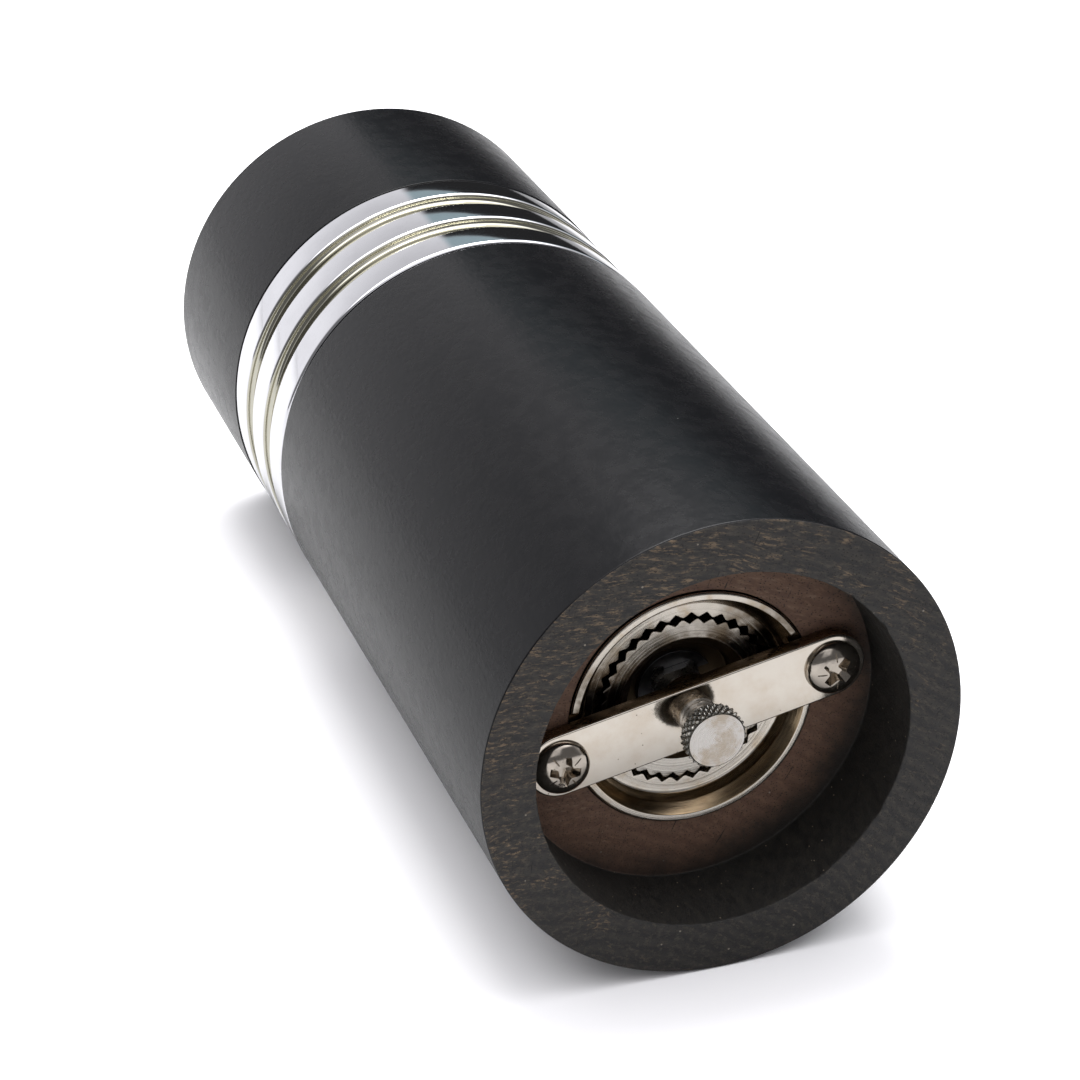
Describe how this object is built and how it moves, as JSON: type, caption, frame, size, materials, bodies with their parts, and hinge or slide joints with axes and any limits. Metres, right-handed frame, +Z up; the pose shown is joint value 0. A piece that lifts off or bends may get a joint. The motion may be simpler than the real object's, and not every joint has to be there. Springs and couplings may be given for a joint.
{
  "type": "pepper mill",
  "caption": "Cylindrical wooden pepper mill with a ribbed metal collar, a turning head and a steel grinder set by a knurled screw under the base.",
  "frame": {"origin": "centre of the flat base face on which the mill stands", "axes": "+Z up the mill's axis to the top of the head, +X along the bridge under the base, +Y square to the bridge"},
  "size_m": [0.06, 0.06, 0.1462],
  "materials": {
    "lacquered_wood_body": "black satin lacquer outside, bare dark end grain in the base",
    "lacquered_wood_head": "black satin lacquer",
    "polished_collar": "polished",
    "black_nylon": "matte",
    "nickel_outer_burr": "nickel plated, turned",
    "nickel_inner_burr": "nickel plated, turned",
    "nickel_bridge": "satin nickel",
    "chrome_screws": "polished, a little tarnished",
    "nickel_knob": "satin nickel, knurled edge",
    "ball_steel": "polished",
    "shaft_steel": "drawn bar",
    "clip_steel": "black spring steel",
    "washer_steel": "zinc plated",
    "spring_steel": "drawn wire",
    "zinc_steel": "zinc plated",
    "white_nylon": "matte",
    "zinc_screws": "zinc plated"
  },
  "bodies": {
    "mill_body": {"barrel": "lacquered_wood_body", "slip_ring": "black_nylon", "female_burr": "nickel_outer_burr", "bridge": "nickel_bridge", "bridge_screws": "chrome_screws", "guide_bar": "zinc_steel", "guide_bush": "white_nylon", "guide_screws": "zinc_screws"},
    "rotor": {"spring": "spring_steel", "spring_washer": "washer_steel"},
    "spindle": {"drive_shaft": "shaft_steel", "male_burr": "nickel_inner_burr", "burr_circlip": "clip_steel", "spring_seat": "washer_steel"},
    "head_assembly": {"head": "lacquered_wood_head", "collar": "polished_collar", "drive_plate": "zinc_steel", "drive_plate_screws": "zinc_screws", "shaft_clip": "clip_steel"},
    "thrust_pivot": {"thrust_ball": "ball_steel"},
    "adjuster": {"adjusting_knob": "nickel_knob"}
  },
  "joints": [
    {"name": "grind_turn", "type": "hinge", "parent": "mill_body", "child": "rotor", "pos_m": [0, 0, 0.04], "axis": [0, 0, 1], "continuous": true},
    {"name": "spindle_travel", "type": "slide", "parent": "rotor", "child": "spindle", "axis": [0, 0, 1], "range_m": [-0.00161, 0], "deforming": ["spring"]},
    {"name": "head_lift", "type": "slide", "parent": "rotor", "child": "head_assembly", "axis": [0, 0, 1], "range_m": [0, 0.03]},
    {"name": "adjuster_travel", "type": "slide", "parent": "mill_body", "child": "thrust_pivot", "axis": [0, 0, 1], "range_m": [-0.0016, 0]},
    {"name": "adjuster_turn", "type": "hinge", "parent": "thrust_pivot", "child": "adjuster", "pos_m": [0, 0, 0.004], "axis": [0, 0, 1], "range_deg": [-720.5, 0]}
  ],
  "couplings": [
    {"joint": "adjuster_turn", "follows": "adjuster_travel", "rad_per_m": 7854},
    {"joint": "spindle_travel", "follows": "adjuster_travel", "ratio": 1}
  ]
}
